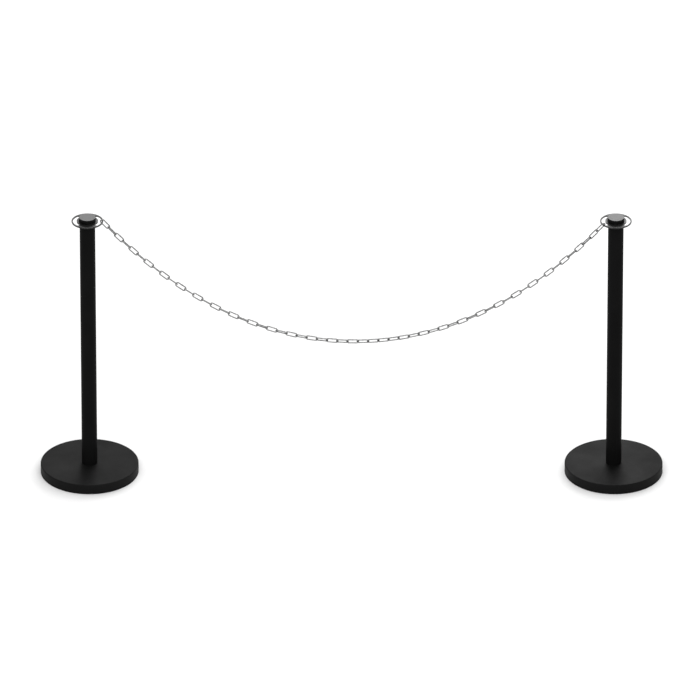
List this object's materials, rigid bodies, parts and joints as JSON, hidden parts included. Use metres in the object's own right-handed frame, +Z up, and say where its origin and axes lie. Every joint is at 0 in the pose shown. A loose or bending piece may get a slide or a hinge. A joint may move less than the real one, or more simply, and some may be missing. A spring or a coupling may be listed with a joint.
{
  "type": "barrier stanchion set",
  "caption": "Pair of black free-standing barrier posts with weighted round bases and slotted ring plates, joined by a hanging long-link steel chain.",
  "frame": {"origin": "on the floor, midway between the two posts", "axes": "+X along the barrier towards the right post, +Y to the back, +Z up"},
  "size_m": [1.935, 0.305, 0.892],
  "materials": {
    "base_coat": "matte fine-textured black powder coat",
    "cast_weight": "as cast, sand texture",
    "rubber": "matte moulded rubber",
    "zinc_steel": "zinc plated",
    "post_coat": "satin black powder coat",
    "plug_steel": "turned bare steel",
    "plate_coat": "satin black powder coat",
    "collar_coat": "satin black powder coat",
    "cap_finish": "satin black with a reflecting flat top",
    "chain_steel": "galvanised"
  },
  "bodies": {
    "stands": {"left_base_cover": "base_coat", "left_base_weight": "cast_weight", "left_floor_pad": "rubber", "left_flat_washer": "zinc_steel", "left_lock_washer": "zinc_steel", "left_base_bolt": "zinc_steel", "left_post_tube": "post_coat", "left_foot_plug": "plug_steel", "left_head_plug": "plug_steel", "left_lock_collar": "collar_coat", "left_top_cap": "cap_finish", "left_cap_stud": "zinc_steel", "right_base_cover": "base_coat", "right_base_weight": "cast_weight", "right_floor_pad": "rubber", "right_flat_washer": "zinc_steel", "right_lock_washer": "zinc_steel", "right_base_bolt": "zinc_steel", "right_post_tube": "post_coat", "right_foot_plug": "plug_steel", "right_head_plug": "plug_steel", "right_lock_collar": "collar_coat", "right_top_cap": "cap_finish", "right_cap_stud": "zinc_steel"},
    "left_plate": {"left_ring_plate": "plate_coat"},
    "right_plate": {"right_ring_plate": "plate_coat"},
    "left_hook": {"left_end_link": "chain_steel"},
    "right_hook": {"right_end_link": "chain_steel"},
    "chain": {"chain_links_01": "chain_steel", "chain_links_02": "chain_steel", "chain_links_03": "chain_steel", "chain_links_04": "chain_steel", "chain_links_05": "chain_steel", "chain_links_06": "chain_steel", "chain_links_07": "chain_steel", "chain_links_08": "chain_steel", "chain_links_09": "chain_steel", "chain_links_10": "chain_steel", "chain_links_11": "chain_steel", "chain_links_12": "chain_steel", "chain_links_13": "chain_steel", "chain_links_14": "chain_steel", "chain_links_15": "chain_steel", "chain_links_16": "chain_steel", "chain_links_17": "chain_steel", "chain_links_18": "chain_steel", "chain_links_19": "chain_steel", "chain_links_20": "chain_steel", "chain_links_21": "chain_steel", "chain_links_22": "chain_steel", "chain_links_23": "chain_steel", "chain_links_24": "chain_steel", "chain_links_25": "chain_steel", "chain_links_26": "chain_steel", "chain_links_27": "chain_steel", "chain_links_28": "chain_steel"}
  },
  "joints": [
    {"name": "left_end_link_tilt", "type": "hinge", "parent": "stands", "child": "left_hook", "pos_m": [-0.7707, 0, 0.8805], "axis": [0.9999, -0.0152, 0], "range_deg": [-10, 10]},
    {"name": "right_end_link_tilt", "type": "hinge", "parent": "stands", "child": "right_hook", "pos_m": [0.77743, -0.02347, 0.8805], "axis": [0.9999, -0.0152, 0], "range_deg": [-10, 10]},
    {"name": "chain_swing", "type": "hinge", "parent": "stands", "child": "chain", "pos_m": [-0.74978, -0.00032, 0.86456], "axis": [0.9999, -0.0152, 0], "range_deg": [-30, 30]},
    {"name": "left_plate_turn", "type": "hinge", "parent": "stands", "child": "left_plate", "pos_m": [-0.815, 0, 0.88], "axis": [0, 0, 1], "range_deg": [-34, 34]},
    {"name": "right_plate_turn", "type": "hinge", "parent": "stands", "child": "right_plate", "pos_m": [0.815, 0, 0.88], "axis": [0, 0, 1], "range_deg": [-2, 62]}
  ],
  "couplings": [
    {"joint": "left_end_link_tilt", "follows": "chain_swing", "ratio": 0.33333},
    {"joint": "right_end_link_tilt", "follows": "chain_swing", "ratio": 0.33333}
  ]
}
